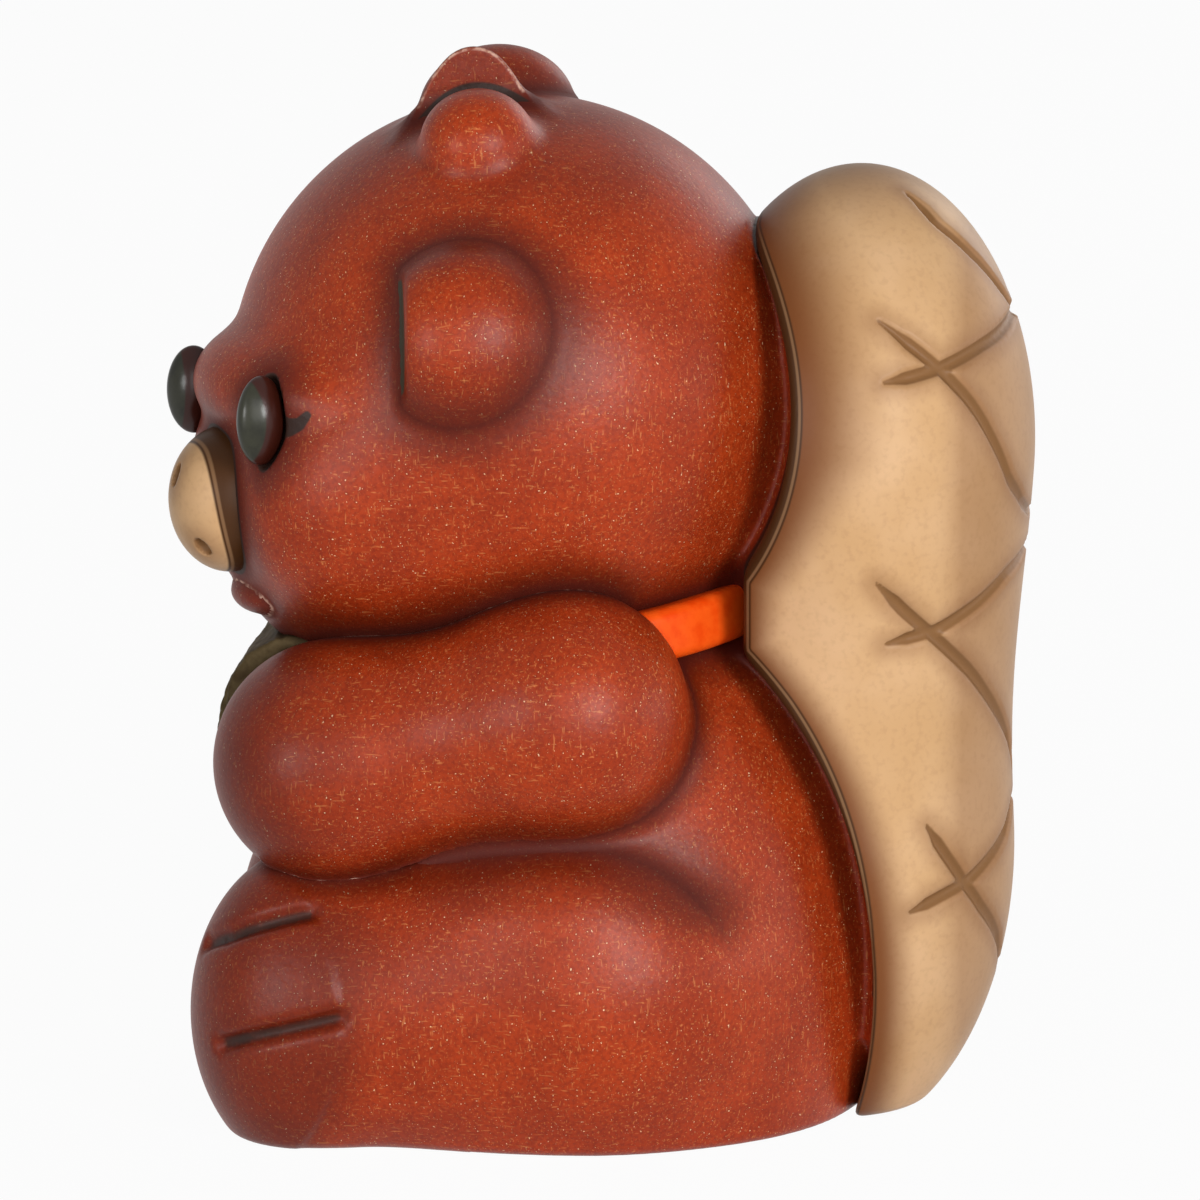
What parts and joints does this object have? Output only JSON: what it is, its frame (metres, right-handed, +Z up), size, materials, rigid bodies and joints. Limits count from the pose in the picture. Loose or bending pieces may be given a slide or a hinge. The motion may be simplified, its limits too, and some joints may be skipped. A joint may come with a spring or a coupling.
{
  "type": "beaver figurine",
  "caption": "Seated ceramic beaver that looks over its left shoulder, with its paddle tail up its back, a neck scarf and a log in its paws; stands on a flat base as an ornament.",
  "frame": {"origin": "middle of the flat underside, on the surface that the figure stands on", "axes": "+Z up; the beaver's body faces -Y, its left side is +X, and its tail stands at +Y"},
  "size_m": [0.0628, 0.0782, 0.0965],
  "materials": {
    "brown_glaze": "satin red-brown glaze with fine golden flecks and darker creases",
    "tan_glaze": "satin tan glaze, brushed brown at the edges",
    "orange_glaze": "satin orange glaze",
    "black_glaze": "glossy olive-black glaze",
    "bark_glaze": "satin olive-brown glaze"
  },
  "bodies": {
    "root": {"head_shell": "brown_glaze", "torso_shell": "brown_glaze", "neck_scarf": "orange_glaze", "tail_paddle": "tan_glaze", "left_leg": "brown_glaze", "right_leg": "brown_glaze", "left_arm": "brown_glaze", "right_arm": "brown_glaze", "muzzle": "tan_glaze", "lower_lip": "brown_glaze", "left_eye": "black_glaze", "right_eye": "black_glaze", "left_ear": "brown_glaze", "right_ear": "brown_glaze", "tuft_mound": "brown_glaze", "tuft_left_lock": "brown_glaze", "tuft_right_lock": "brown_glaze", "held_log": "bark_glaze"}
  },
  "joints": []
}
